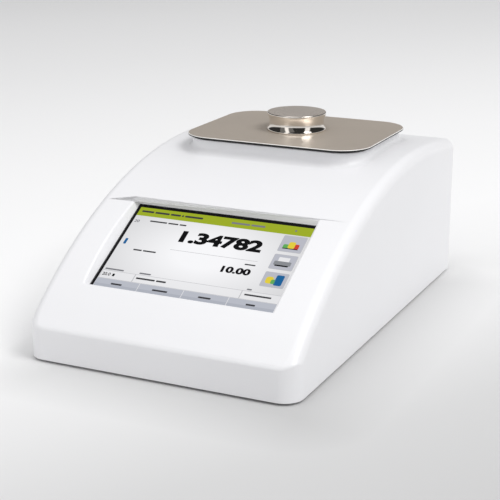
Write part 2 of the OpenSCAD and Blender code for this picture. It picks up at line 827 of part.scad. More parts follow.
// Base with upright fins, one on each side of the block
module heat_sinks() {
    base = 5;
    pitch = (block_w - 2) / (fin_count - 1);
    color(alu) for (s = [-1, 1]) translate([0, plate_y, block_top - block_h]) {
        translate([s * (block_w / 2 + cooler_t + base / 2), 0, block_h - sink_h / 2])
            cube([base, block_w, sink_h], center = true);
        for (i = [0:fin_count - 1]) translate([s * (block_w / 2 + cooler_t + sink_w / 2),
            (i - fin_count / 2 + 0.5) * pitch, block_h - sink_h / 2])
            cube([sink_w, fin_t, sink_h], center = true);
    }
}

module block_pillars() {
    h = block_top - block_h - base_top;
    color(zinc) for (x = [-1, 1], y = [-1, 1])
        translate([x * stud_at, plate_y + y * stud_at, base_top]) {
            cylinder(r = pillar_r, h = h);
            cylinder(r = stud_r, h = h + stud_l);
        }
}

// Places something at the four corners of a board
module at_board_corners(x, y, w, d) {
    for (i = [-1, 1], j = [-1, 1])
        translate([x + i * (w / 2 - board_screw_in), y + j * (d / 2 - board_screw_in), 0]) children();
}

module board(x, y, w, d) {
    difference() {
        translate([x, y, pcb_z]) slab(w, d, pcb_t, 2);
        at_board_corners(x, y, w, d) translate([0, 0, pcb_z - cut])
            cylinder(r = board_screw_r + fit, h = pcb_t + 2 * cut);
    }
}

module main_board() {
    color(green) {
        board(main_x, main_y, main_w, main_d);
        translate([main_x, main_y, pcb_z + pcb_t]) {
            slab(main_d * 0.3, main_d * 0.3, 2 * chip_t, 1);
            for (i = [-1, 1]) translate([i * main_w * 0.18, main_d * 0.07, 0])
                slab(main_d * 0.15, main_d * 0.2, chip_t, 0.5);
            for (i = [-1:1]) translate([-main_w * 0.41, (i * 0.17 - 0.09) * main_d, 0])
                cylinder(r = can_r, h = can_h);
            translate([main_w / 3, -main_d * 0.22, 0]) slab(socket_t, main_d * 0.4, socket_t, 0.5);
            translate([main_w * 0.12, main_d * 0.41, 0]) slab(main_w * 0.3, socket_t - 2, socket_t, 0.5);
        }
    }
}

module board_spacers() {
    color(brass) {
        at_board_corners(main_x, main_y, main_w, main_d) spacer();
        at_board_corners(io_x, io_y, io_w, io_d) spacer();
    }
}

module spacer() {
    translate([0, 0, base_top]) difference() {
        cylinder(r = 3, h = spacer_h);
        translate([0, 0, spacer_h - board_screw_l])
            cylinder(r = board_screw_r + fit, h = board_screw_l + cut);
    }
}

module board_screws() {
    color(zinc) {
        at_board_corners(main_x, main_y, main_w, main_d) board_screw();
        at_board_corners(io_x, io_y, io_w, io_d) board_screw();
    }
}

module board_screw() {
    translate([0, 0, pcb_z + pcb_t])
        screw(board_screw_r, pcb_t + board_screw_l - 2, board_screw_r + 1.2, small_head_h);
}

module interface_board() {
    color(green) {
        board(io_x, io_y, io_w, io_d);
        translate([io_x, io_y, pcb_z + pcb_t]) {
            translate([-io_w * 0.27, -io_d / 4, 0]) slab(io_d / 4, io_d / 4, chip_t, 0.5);
            translate([io_w * 0.1, -io_d * 0.36, 0]) slab(io_w * 0.36, socket_t - 2, socket_t, 0.5);
        }
    }
}

// Two flat sockets side by side, with a tongue in each and feet that reach the board
module usb_ports() {
    deep = 15;
    color(zinc) for (x = usb_x) translate([x, port_y, usb_z]) rotate([90, 0, 0]) {
        difference() {
            slab(usb_w, usb_h, deep, 0.5);
            translate([0, 0, -cut]) slab(usb_w - 1, usb_h - 1, deep - 4 + cut, 0.3);
        }
        translate([0, usb_h / 5, 2]) slab(usb_w - 2.2, 1.8, deep - 3, 0.2);
        translate([-usb_w / 2 + 0.6, -usb_h / 2 - 0.5, 3]) cube([usb_w - 1.2, 0.75, deep - 3]);
    }
}

// Network socket with an open cavity and a latch notch
module network_port() {
    deep = 18;
    color(zinc) translate([lan_x, port_y, lan_z]) rotate([90, 0, 0]) difference() {
        union() {
            slab(lan_w, lan_h, deep, 0.5);
            translate([-lan_w / 2 + 0.8, -lan_h / 2 - 0.3, 3]) cube([lan_w - 1.6, 1, deep - 3]);
        }
        translate([0, -0.6, -cut]) slab(lan_w - 3.8, lan_h - 5, deep - 5 + cut, 0.4);
        translate([0, lan_h / 2 - 2.3, -cut]) slab(lan_w / 3, 3, deep - 5 + cut, 0.4);
    }
}

module serial_port() {
    pitch = 2.75;
    nose = 4;
    color(zinc) translate([serial_x, port_y, serial_z]) rotate([90, 0, 0]) {
        difference() {
            translate([0, 0, -nose]) slab(serial_w, serial_h, 18, 2);
            for (i = [0:4]) translate([(i - 2) * pitch, pitch / 2, -nose - cut])
                cylinder(r = 0.6, h = 8, $fn = 24);
            for (i = [0:3]) translate([(i - 1.5) * pitch, -pitch / 2, -nose - cut])
                cylinder(r = 0.6, h = 8, $fn = 24);
        }
        translate([0, 0, 3.2]) slab(2 * jack_x + 6, serial_h + 2.6, 1, 1);
        for (x = [-1, 1]) translate([x * jack_x, 0, -1.5]) cylinder(r = jack_r, h = 5.5);
        for (x = [-1, 1]) translate([x * jack_x, 0, -4.9]) cylinder(r = jack_r + 1.1, h = 3.9, $fn = 6);
        translate([-jack_x, -7, nose]) cube([2 * jack_x, 8, 9]);
    }
}

// Sheet cage with the transformer and capacitors on a board
module power_supply() {
    w = supply_w;
    d = supply_d;
    h = supply_h;
    sheet = 1.2;
    floor = 4;
    top = floor + pcb_t - sink_in;
    y = main_y + main_d / 2 + 2 + d / 2;
    color(pale_grey) translate([-inner_w / 2 + supply_in + w / 2, y, base_top]) {
        difference() {
            slab(w, d, h, 1.5);
            translate([0, 0, sheet]) slab(w - 2 * sheet, d + 2 * cut, h - 2 * sheet, 0.5);
            for (i = [-5:5], j = [-1, 0, 1])
                translate([j * w * 0.28, i * d / 13, h - sheet - cut]) slab(w / 5, 3, sheet + 2 * cut, 1.4);
        }
        translate([0, 0, floor]) slab(w - 6, d - 6, pcb_t, 1);
        for (x = [-1, 1], y = [-1, 1]) translate([x * (w / 2 - 7), y * (d / 2 - 8), sheet / 2])
            cylinder(r = 2, h = floor);
        translate([0, d * 0.08, top]) slab(w / 2, d / 4, h * 0.6, 1);
        for (i = [-1, 1]) translate([w * 0.22, (i * 0.08 - 0.27) * d, top]) cylinder(r = w / 8, h = h * 0.68);
        translate([-w * 0.22, -d * 0.27, top]) slab(w * 0.22, d / 4, h * 0.44, 1);
    }
}

// Square fan frame with four spokes and a hub that holds the bearing
module fan_frame() {
    hub_r = 13;
    color(dark) on_rear(fan_x, fan_z, panel_y) rotate([180, 0, 0]) difference() {
        union() {
            difference() {
                slab(fan_w, fan_w, fan_t, 4);
                translate([0, 0, -cut]) cylinder(r = fan_w / 2 - 1.8, h = fan_t + 2 * cut);
            }
            translate([0, 0, fan_t - 3]) cylinder(r = hub_r, h = 3);
            translate([0, 0, fan_t - 11]) cylinder(r = 4, h = 9);
            for (a = [45, 135]) rotate(a) translate([-fan_w / 2, -1.5, fan_t - 3]) cube([fan_w, 3, 3]);
        }
        translate([0, 0, fan_t - 12]) cylinder(r = fan_shaft_r + shaft_fit, h = 9);
        for (x = [-1, 1], y = [-1, 1]) translate([x * fan_hole, y * fan_hole, -cut])
            cylinder(r = screw_r + fit, h = fan_t + 2 * cut);
    }
}

// Cup-shaped hub with pitched blades and a shaft
module fan_rotor() {
    hub_r = 12.5;
    tip_r = fan_w / 2 - 3;
    deep = fan_t - 6;
    color([0.13, 0.13, 0.14]) on_rear(fan_x, fan_z, panel_y) rotate([180, 0, 0]) {
        translate([0, 0, 2]) difference() {
            cylinder(r = hub_r, h = deep);
            translate([0, 0, 2]) cylinder(r = hub_r - 1.5, h = deep);
        }
        translate([0, 0, 3]) cylinder(r = fan_shaft_r, h = fan_t - 7.5);
        intersection() {
            for (i = [0:blade_count - 1]) rotate(i * 360 / blade_count) translate([0, 0, 2 + deep / 2])
                rotate([48, 0, 0]) translate([hub_r - 0.8, -deep, -0.6]) cube([tip_r, 2 * deep, 1.2]);
            translate([0, 0, 2.5]) difference() {
                cylinder(r = tip_r, h = deep - 1);
                translate([0, 0, -cut]) cylinder(r = hub_r - 0.7, h = deep + 2 * cut);
            }
        }
    }
}

module fan_screws() {
    color(zinc) for (x = [-1, 1], z = [-1, 1])
        on_rear(fan_x + x * fan_hole, fan_z + z * fan_hole) screw(screw_r, fan_t - 4, head_r, head_h);
}

// Moulded inlet: flange and ears outside the panel, body with three cavities inside
module power_inlet() {
    low = panel_y - inlet_depth;
    color(dark) difference() {
        union() {
            on_rear(inlet_x, inlet_z) slab(inlet_w + 4, inlet_h + 4, flange_y - rear_y, 3);
            on_rear(inlet_x, inlet_z) slab(2 * ear_x + 10, 12, flange_y - rear_y, 5);
            on_rear(inlet_x, inlet_z, low) slab(inlet_w, inlet_h, rear_y - low + cut, 1.6);
        }
        on_rear(inlet_x, socket_z, flange_y - 17) slab(socket_w, socket_h, 17 + cut, 2.5);
        on_rear(inlet_x, drawer_z, flange_y - drawer_d)
            slab(drawer_w + 2 * slide_fit, drawer_h + 2 * slide_fit, drawer_d + cut, 0.8);
        on_rear(inlet_x, rocker_z, rocker_y - rocker_r - 1)
            slab(rocker_w + 2 * slide_fit, 2 * rocker_r + 2 * slide_fit, rocker_r + 8, 0.8);
        translate([inlet_x - rocker_w / 2 - 2.4, rocker_y, rocker_z]) rotate([0, 90, 0])
            cylinder(r = axle_r + shaft_fit, h = rocker_w + 4.8);
        for (x = [-1, 1]) on_rear(inlet_x + x * ear_x, inlet_z, rear_y - cut)
            cylinder(r = panel_screw_r + fit, h = 5 + cut);
        blades();
    }
}

// Three flat contact blades in the socket, with tails behind the body
module blades() {
    low = panel_y - inlet_depth - 6;
    for (p = [[-7, -2], [0, 2], [7, -2]])
        translate([inlet_x + p[0] - 1, low, socket_z + p[1] - 2]) cube([2, flange_y - 3 - low, 4]);
}

module inlet_pins() {
    color(zinc) blades();
}

module inlet_screws() {
    color(zinc) for (x = [-1, 1])
        on_rear(inlet_x + x * ear_x, inlet_z, flange_y)
            screw(panel_screw_r, flange_y - panel_y + 3.5, small_head_r, small_head_h);
}

// Sliding drawer with a pull lip and a trough for the fuse
module fuse_drawer() {
    color(dark) {
        on_rear(inlet_x, drawer_z, flange_y - drawer_d + 0.6) difference() {
            slab(drawer_w, drawer_h, drawer_d - 0.6, 0.6);
            translate([-10.4, -1.6, 4]) cube([20.8, drawer_h, 5.8]);
        }
        on_rear(inlet_x, drawer_z, flange_y - cut) slab(drawer_w - 2, drawer_h - 1, 2.2, 1);
    }
}

module fuse() {
    color(glass) translate([inlet_x - 10, flange_y - drawer_d + 7.5, drawer_z - 1.1]) rotate([0, 90, 0])
        cylinder(r = 2.5, h = 20);
}

// Rocker seen from the side: a round drum with two flats that meet in a shallow V
module power_rocker() {
    reach = 5;
    dip = 2.2;
    color(dark) translate([inlet_x, rocker_y, rocker_z]) rotate([rocker_tilt, 0, 0]) {
        intersection() {
            rotate([0, 90, 0]) cylinder(r = rocker_r - slide_fit, h = rocker_w, center = true);
            rotate([90, 0, 90]) translate([0, 0, -rocker_w / 2]) linear_extrude(rocker_w)
                polygon([[-4, -rocker_r], [reach, -rocker_r], [dip, 0], [reach, rocker_r], [-4, rocker_r]]);
        }
        rotate([0, 90, 0]) cylinder(r = axle_r, h = rocker_w + 4, center = true);
    }
}

housing();
base_plate();
rubber_feet();
foot_screws();
base_screws();
rear_panel();
rear_screws();
touch_glass();
display_module();
display_carrier();
display_screws();
display_board();
sample_plate();
plate_gasket();
lid();
prism_bezel();
prism();
prism_seal();
prism_block();
temperature_sensor();
light_tube();
light_source();
collimating_lens();
sensor_tube();
sensor_board();
cooling_elements();
heat_sinks();
block_pillars();
main_board();
board_spacers();
board_screws();
interface_board();
usb_ports();
network_port();
serial_port();
power_supply();
fan_frame();
fan_rotor();
fan_screws();
power_inlet();
inlet_pins();
inlet_screws();
fuse_drawer();
fuse();
power_rocker();
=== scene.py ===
import bpy
import bmesh
import json
import math
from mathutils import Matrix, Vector


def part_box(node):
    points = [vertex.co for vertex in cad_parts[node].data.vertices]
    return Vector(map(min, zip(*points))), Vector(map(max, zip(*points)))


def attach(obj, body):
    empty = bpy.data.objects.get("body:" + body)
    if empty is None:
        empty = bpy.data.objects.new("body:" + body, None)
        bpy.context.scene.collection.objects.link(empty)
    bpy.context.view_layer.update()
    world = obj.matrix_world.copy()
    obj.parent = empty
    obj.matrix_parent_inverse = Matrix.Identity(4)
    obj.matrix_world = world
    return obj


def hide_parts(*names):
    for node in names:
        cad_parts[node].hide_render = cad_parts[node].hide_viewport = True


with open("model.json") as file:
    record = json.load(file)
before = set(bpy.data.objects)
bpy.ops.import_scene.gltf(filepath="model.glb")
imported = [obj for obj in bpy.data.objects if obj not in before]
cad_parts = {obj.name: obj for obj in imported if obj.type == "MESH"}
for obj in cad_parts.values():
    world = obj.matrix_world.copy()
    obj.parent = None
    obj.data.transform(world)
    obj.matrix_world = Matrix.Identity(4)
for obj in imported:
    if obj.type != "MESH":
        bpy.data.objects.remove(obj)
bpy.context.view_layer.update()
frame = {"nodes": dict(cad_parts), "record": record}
mm = 0.001
print("frame loaded:", len(frame["nodes"]), "nodes")


# helpers, all places in millimetres

def useOnly(piece):
    if bpy.context.object and bpy.context.object.mode != "OBJECT":
        bpy.ops.object.mode_set(mode="OBJECT")
    bpy.ops.object.select_all(action="DESELECT")
    piece.select_set(True)
    bpy.context.view_layer.objects.active = piece


def settle(name):    # names the piece just added and moves its place into the mesh
    piece = bpy.context.object
    piece.name = piece.data.name = name
    useOnly(piece)
    bpy.ops.object.transform_apply(location=True, rotation=True, scale=True)
    return piece


def addBox(name, low, high):
    low, high = Vector(low) * mm, Vector(high) * mm
    bpy.ops.object.select_all(action="DESELECT")
    bpy.ops.mesh.primitive_cube_add(size=1, location=(low + high) / 2, scale=high - low)
    return settle(name)


def addRod(name, place, radius, length, turn=(0, 0, 0), sides=48):
    bpy.ops.object.select_all(action="DESELECT")
    bpy.ops.mesh.primitive_cylinder_add(vertices=sides, radius=radius * mm, depth=length * mm,
                                        location=Vector(place) * mm, rotation=turn)
    return settle(name)


def pick(piece, kind, test):    # selects what passes the test, in edit mode, and counts it
    if bpy.context.object != piece or piece.mode != "EDIT":
        useOnly(piece)
        bpy.ops.object.mode_set(mode="EDIT")
    bpy.ops.mesh.select_mode(type=kind)
    bpy.ops.mesh.select_all(action="DESELECT")
    mesh = bmesh.from_edit_mesh(piece.data)
    found = [item for item in {"VERT": mesh.verts, "EDGE": mesh.edges, "FACE": mesh.faces}[kind] if test(item)]
    for item in found:
        item.select_set(True)
    mesh.select_flush_mode()
    bmesh.update_edit_mesh(piece.data)
    return len(found)


def bevelEdges(piece, test, size, steps=4, **more):
    if pick(piece, "EDGE", test):
        bpy.ops.mesh.bevel(offset=size * mm, segments=steps, affect="EDGES", **more)
    bpy.ops.object.mode_set(mode="OBJECT")


def modify(piece, kind, **values):
    useOnly(piece)
    step = piece.modifiers.new(kind.title(), kind)
    for key, value in values.items():
        setattr(step, key, value)
    bpy.ops.object.modifier_apply(modifier=step.name)


def combine(piece, tool, way="DIFFERENCE"):
    modify(piece, "BOOLEAN", operation=way, object=tool, solver="EXACT")
    bpy.data.objects.remove(tool)


def joinAll(name, parts):
    bpy.ops.object.select_all(action="DESELECT")
    for part in parts:
        part.select_set(True)
    bpy.context.view_layer.objects.active = parts[0]
    bpy.ops.object.join()
    return settle(name)


def smoothOver(piece, angle=30):
    useOnly(piece)
    bpy.ops.object.shade_smooth_by_angle(angle=math.radians(angle))
    modify(piece, "WEIGHTED_NORMAL", mode="FACE_AREA", weight=50, keep_sharp=True)


def at(vert):
    return vert.co / mm


def onLine(edge, test):
    return all(test(at(v)) for v in edge.verts)


def upright(edge):
    a, b = (at(v) for v in edge.verts)
    return (a - b).length > 1 and abs(a.z - b.z) > 0.99 * (a - b).length


# the housing: a whale-backed moulding with a plinth

housingLow, housingHigh = (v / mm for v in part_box("housing"))
gasketLow, gasketHigh = (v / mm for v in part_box("plate_gasket"))
shell = {
    "crest": 132, "crestBack": 96,          # highest roof line: height, and distance from the rear
    "frontArc": 387, "rearArc": 600,        # roof radii before and behind it
    "corner": 15.6, "sideEdge": 9.2, "noseEdge": 4,
    "wall": 4, "stationStep": 7, "stationStart": 16.5,
    "gasketInset": 1.2, "plinthCorner": 24, "plinthEdge": 0.7, "cove": 5.6,
    "blendOut": 7, "blendIn": 3,            # no roof station this near the plinth's front and rear walls
}
frontY, rearY, halfWidth = housingLow.y, housingHigh.y, housingHigh.x
crestY = rearY - shell["crestBack"]
plinthLow = Vector((gasketLow.x, gasketLow.y)) - Vector((1, 1)) * shell["gasketInset"]
plinthHigh = Vector((gasketHigh.x, gasketHigh.y)) + Vector((1, 1)) * shell["gasketInset"]
plinthTop = housingHigh.z


def roofHeight(y, inset=0):
    arc = shell["frontArc"] if y < crestY else shell["rearArc"]
    return shell["crest"] - arc + math.sqrt((arc - inset) ** 2 - (y - crestY) ** 2)


def whaleBack(name, inset, low, back):
    half, front, corner = halfWidth - inset, frontY + inset, shell["corner"] - inset
    body = addBox(name, (-half, front, low), (half, back, shell["crest"] + 40))
    bevelEdges(body, lambda e: upright(e) and at(e.verts[0]).y < front + 1, corner, 12)
    stations = []
    y = frontY + shell["stationStart"]
    while y < back - 1:
        nearFront = -shell["blendOut"] < y - plinthLow.y < shell["blendIn"]
        nearRear = -shell["blendIn"] < y - plinthHigh.y < shell["blendOut"]
        if not nearFront and not nearRear:
            stations.append(y)
        y += shell["stationStep"]
    for y in stations + [crestY]:
        pick(body, "FACE", lambda f: True)
        bpy.ops.mesh.bisect(plane_co=(0, y * mm, 0), plane_no=(0, 1, 0))
    top = shell["crest"] + 39
    rows = sorted({round(at(v).y, 4) for v in bmesh.from_edit_mesh(body.data).verts if at(v).z > top})
    for row in rows:
        pick(body, "VERT", lambda v: at(v).z > top and abs(at(v).y - row) < 0.001)
        drop = roofHeight(row, inset) - shell["crest"] - 40
        bpy.ops.transform.translate(value=(0, 0, drop * mm))
    bpy.ops.object.mode_set(mode="OBJECT")
    side, nose = shell["sideEdge"] - inset, shell["noseEdge"]
    slope = math.asin((crestY - front) / (shell["frontArc"] - inset))
    noseShare = nose * math.tan((math.pi / 2 - slope) / 2) / side    # the nose bends less than a right angle

    def rimWeight(edge):
        if len(edge.link_faces) < 2 or at(edge.verts[0]).y > back - 0.01 and at(edge.verts[1]).y > back - 0.01:
            return 0
        tilts = sorted(abs(f.normal.z) for f in edge.link_faces)
        if tilts[0] > 0.1 or tilts[1] < 0.3 or max(at(v).z for v in edge.verts) < low + 5:
            return 0
        middle = (at(edge.verts[0]) + at(edge.verts[1])) / 2
        turn = min(max((middle.y - front) / corner, 0), 1)
        share = math.sin(turn * math.pi / 2) ** 1.5
        return noseShare + (1 - noseShare) * share

    pick(body, "EDGE", lambda e: False)
    mesh = bmesh.from_edit_mesh(body.data)
    layer = mesh.edges.layers.float.get("bevel_weight_edge") or mesh.edges.layers.float.new("bevel_weight_edge")
    for edge in mesh.edges:
        edge[layer] = rimWeight(edge)
    bmesh.update_edit_mesh(body.data)
    bpy.ops.object.mode_set(mode="OBJECT")
    modify(body, "BEVEL", limit_method="WEIGHT", width=side * mm, segments=8, use_clamp_overlap=False,
           loop_slide=False)
    return body


housingShell = whaleBack("housingShell", 0, housingLow.z, rearY)
print("housing body shaped:", len(housingShell.data.polygons), "faces")

plinth = addBox("plinth", (plinthLow.x, plinthLow.y, plinthTop - 22), (plinthHigh.x, plinthHigh.y, plinthTop))
bevelEdges(plinth, upright, shell["plinthCorner"], 16)
combine(housingShell, plinth, "UNION")


def onPlinthWall(p):
    r = shell["plinthCorner"]
    dx = abs(p.x) - (plinthHigh.x - r)
    dy = abs(p.y - (plinthLow.y + plinthHigh.y) / 2) - ((plinthHigh.y - plinthLow.y) / 2 - r)
    if dx > 0 and dy > 0:
        return abs(math.hypot(dx, dy) - r) < 0.06
    return (abs(dx - r) < 0.01 and dy <= 0.01) or (abs(dy - r) < 0.01 and dx <= 0.01)


def onRoof(p):
    return abs(p.z - roofHeight(p.y)) < 0.2


bevelEdges(housingShell, lambda e: onLine(e, lambda p: onPlinthWall(p) and onRoof(p)) and not upright(e),
           shell["cove"], 7, loop_slide=False, clamp_overlap=False)
bevelEdges(housingShell, lambda e: onLine(e, lambda p: onPlinthWall(p) and p.z > plinthTop - 0.01),
           shell["plinthEdge"], 3)
print("plinth blended in:", len(housingShell.data.polygons), "faces")

# the window that is sunk over the screen

window = {
    "width": 156, "height": 93.8, "corner": 2, "flare": 28.5, "rise": 20,
    "front": 79.5, "sink": 8.7, "lean": 0.65,    # the screen's middle: behind the front, below the roof, slope
    "seatWidth": 182, "seatHeight": 110, "rimEdge": 1.4,
}
screenY = frontY + window["front"]
screenZ = roofHeight(screenY) - window["sink"]
screenTilt = math.asin((crestY - screenY) / shell["frontArc"]) + math.radians(window["lean"])


def toScreen(piece):    # lays a flat piece, made round the origin, on the sloping glass
    useOnly(piece)
    piece.rotation_euler = (screenTilt, 0, 0)
    piece.location = Vector((0, screenY, screenZ)) * mm
    bpy.ops.object.transform_apply(location=True, rotation=True, scale=True)
    return piece


def windowTool():
    half, high, rise = window["width"] / 2, window["height"] / 2, window["rise"]
    tool = addBox("windowTool", (-half, -high, -1), (half, high, 0))
    bevelEdges(tool, upright, window["corner"], 4)
    spread = rise * math.tan(math.radians(window["flare"]))
    pick(tool, "FACE", lambda f: f.normal.z > 0.9)
    bpy.ops.mesh.extrude_region_move(TRANSFORM_OT_translate={"value": (0, 0, rise * mm)})
    bpy.ops.transform.resize(value=(1 + spread / half, 1 + spread / high, 1))
    bpy.ops.object.mode_set(mode="OBJECT")
    return toScreen(tool)


combine(housingShell, windowTool())
bevelEdges(housingShell, lambda e: onLine(e, onRoof) and e.calc_face_angle(0) > 0.4
           and all(abs(at(v).x) < 95 and abs(at(v).y - screenY) < 60 for v in e.verts),
           window["rimEdge"], 3, clamp_overlap=False)
print("window cut:", len(housingShell.data.polygons), "faces")


# the hollow inside, with its openings, bosses and posts

panelLow, panelHigh = (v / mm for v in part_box("rear_panel"))
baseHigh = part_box("base_plate")[1] / mm
inside = {
    "flange": 8, "flangeThick": 3, "panelGap": 0.2, "panelCorner": 6.6,
    "portWidth": 131.2, "portDepth": 64,
    "bossRadius": 4.5, "bossHeight": 22, "bossIn": 7, "screwHole": 2.2,
    "bossRows": (18, 174, 343), "postX": 88, "postY": 44, "postRadius": 3.4, "postLength": 7.5,
}
wall = shell["wall"]
innerHalf = halfWidth - wall
hollow = whaleBack("hollow", wall, housingLow.z - 1, panelLow.y - inside["flangeThick"])
raised = addBox("raised", (plinthLow.x + wall, plinthLow.y + wall, plinthTop - 27),
                (plinthHigh.x - wall, plinthHigh.y - wall, plinthTop - wall))
bevelEdges(raised, upright, shell["plinthCorner"] - wall, 8)
combine(hollow, raised, "UNION")
seat = addBox("seat", (-window["seatWidth"] / 2, -window["seatHeight"] / 2, 0),
              (window["seatWidth"] / 2, window["seatHeight"] / 2, 25))
combine(hollow, toScreen(seat))
combine(housingShell, hollow)
plinthMiddle = (plinthLow.y + plinthHigh.y) / 2
gap = inside["panelGap"]
rebate = addBox("rebate", (panelLow.x - gap, panelLow.y, housingLow.z + gap),
                (panelHigh.x + gap, rearY + 1, panelHigh.z + gap))
bevelEdges(rebate, lambda e: onLine(e, lambda p: p.z > panelHigh.z - 1 and abs(p.x) > innerHalf)
           and abs(at(e.verts[0]).y - at(e.verts[1]).y) > 1, inside["panelCorner"], 8)
openings = [
    rebate,
    addBox("rearOpening", (-innerHalf + inside["flange"], panelLow.y - 4, housingLow.z - 1),
           (innerHalf - inside["flange"], rearY + 1, roofHeight(rearY) - wall - inside["flange"])),
    addBox("baseOpening", (-innerHalf, rearY - 20, housingLow.z - 1), (innerHalf, rearY + 1, baseHigh.z + gap)),
    addBox("headOpening", (-inside["portWidth"] / 2, plinthMiddle - inside["portDepth"] / 2, plinthTop - 8),
           (inside["portWidth"] / 2, plinthMiddle + inside["portDepth"] / 2, plinthTop + 4)),
]
for opening in openings:
    combine(housingShell, opening)
for side in (-1, 1):
    for row in inside["bossRows"]:
        place = (side * (innerHalf - inside["bossIn"]), frontY + row, baseHigh.z + inside["bossHeight"] / 2)
        boss = addRod("boss", place, inside["bossRadius"], inside["bossHeight"])
        combine(boss, addRod("hole", place, inside["screwHole"], inside["bossHeight"] + 2, sides=24))
        rib = addBox("rib", (place[0] + side * 4.2 if side > 0 else -innerHalf - 1, place[1] - 1.5, baseHigh.z),
                     (innerHalf + 1 if side > 0 else place[0] - 4.2, place[1] + 1.5,
                      baseHigh.z + inside["bossHeight"]))
        combine(boss, rib, "UNION")
        combine(housingShell, boss, "UNION")
    for end in (-1, 1):
        post = addRod("post", (side * inside["postX"], end * inside["postY"], 1 - inside["postLength"] / 2 - 0.5),
                      inside["postRadius"], inside["postLength"] + 1)
        combine(housingShell, toScreen(post), "UNION")
print("housing hollowed:", len(housingShell.data.polygons), "faces")

smoothOver(housingShell)
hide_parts("housing")
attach(housingShell, "root")


# the steel plate and the turned lid

plateLow, plateHigh = (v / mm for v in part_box("sample_plate"))
lidLow, lidHigh = (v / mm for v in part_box("lid"))
stage = {
    "corner": 28, "hole": 20.3, "edge": 0.5,
    "rim": 2, "foot": 1.4, "waist": 23.9, "round": 0.7, "recess": 2.4, "recessRadius": 21.3, "turns": 160,
}
stagePlate = addBox("stagePlate", plateLow, plateHigh)
bevelEdges(stagePlate, upright, stage["corner"], 24)
combine(stagePlate, addRod("hole", (0, plinthMiddle, plateHigh.z), stage["hole"], 10, sides=128))
bevelEdges(stagePlate, lambda e: e.calc_face_angle(0) > 1, stage["edge"], 3)
smoothOver(stagePlate)


def turn(name, profile, steps):    # profile of [radius, height], from the axis out and back to it
    bpy.ops.object.select_all(action="DESELECT")
    bpy.ops.mesh.primitive_plane_add(size=mm)
    bpy.ops.object.mode_set(mode="EDIT")
    bpy.ops.mesh.select_mode(type="VERT")
    bpy.ops.mesh.select_all(action="SELECT")
    bpy.ops.mesh.merge(type="CENTER")
    bpy.ops.transform.translate(value=(profile[0][0] * mm, 0, profile[0][1] * mm))
    here = profile[0]
    for point in profile[1:]:
        bpy.ops.mesh.extrude_region_move(TRANSFORM_OT_translate={
            "value": ((point[0] - here[0]) * mm, 0, (point[1] - here[1]) * mm)})
        here = point
    bpy.ops.mesh.select_all(action="SELECT")
    bpy.ops.mesh.spin(steps=steps, angle=2 * math.pi, center=(0, 0, 0), axis=(0, 0, 1))
    bpy.ops.mesh.select_all(action="SELECT")
    bpy.ops.mesh.remove_doubles(threshold=1e-6)
    bpy.ops.mesh.dissolve_degenerate(threshold=1e-6)
    bpy.ops.mesh.select_all(action="SELECT")
    bpy.ops.mesh.normals_make_consistent(inside=False)
    bpy.ops.object.mode_set(mode="OBJECT")
    return settle(name)


def arc(middle, radius, start, end, steps):
    angles = [math.radians(start + (end - start) * k / steps) for k in range(steps + 1)]
    return [(middle[0] + radius * math.cos(a), middle[1] + radius * math.sin(a)) for a in angles]


def lidProfile():
    radius, height = lidHigh.x, lidHigh.z - lidLow.z
    depth, sweep = radius - stage["waist"], (height - stage["rim"] - stage["foot"]) / 2
    hollowRadius = (sweep ** 2 + depth ** 2) / (2 * depth)
    reach = math.degrees(math.asin(sweep / hollowRadius))
    edge = stage["round"]
    return ([(0, stage["recess"]), (stage["recessRadius"], stage["recess"]), (stage["recessRadius"], 0.3),
             (stage["recessRadius"] + 0.3, 0)]
            + arc((radius - edge, edge), edge, -90, 0, 5)
            + arc((stage["waist"] + hollowRadius, stage["foot"] + sweep), hollowRadius, 180 + reach, 180 - reach, 20)
            + arc((radius - edge, height - edge), edge, 0, 90, 5) + [(radius * 0.6, height), (0, height)])


turnedLid = turn("turnedLid", lidProfile(), stage["turns"])
turnedLid.location = (0, plinthMiddle * mm, plateHigh.z * mm)
useOnly(turnedLid)
bpy.ops.object.transform_apply(location=True, rotation=True, scale=True)
smoothOver(turnedLid, 40)
for piece, node, body, slot in ((stagePlate, "sample_plate", "root", "stage_steel"),
                                (turnedLid, "lid", "lid", "lid_steel")):
    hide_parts(node)
    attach(piece, body)
print("plate and lid made")


# the picture on the touch screen, in millimetres from its upper left corner

display = {
    "width": 152.4, "height": 91.4, "right": 1.2, "down": 2.4, "lift": 0.03,
    "reading": "1.34782", "second": "10.00", "degrees": "20.0",
}


def onDisplay(piece, left, top, layer):
    useOnly(piece)
    piece.location = Vector((left - display["width"] / 2 + display["right"],
                             display["height"] / 2 - top - display["down"], display["lift"] * (1 + layer))) * mm
    bpy.ops.object.transform_apply(location=True, rotation=True, scale=True)
    return toScreen(piece)


def tile(name, left, top, right, bottom, layer, corner=0):
    bpy.ops.object.select_all(action="DESELECT")
    bpy.ops.mesh.primitive_plane_add(size=1, scale=(1, 1, 1))
    piece = bpy.context.object
    piece.scale = ((right - left) * mm, (bottom - top) * mm, 1)
    piece = settle(name)
    if corner:
        pick(piece, "VERT", lambda v: True)
        bpy.ops.mesh.bevel(offset=corner * mm, segments=4, affect="VERTICES")
        bpy.ops.object.mode_set(mode="OBJECT")
    return onDisplay(piece, (left + right) / 2, (top + bottom) / 2, layer)


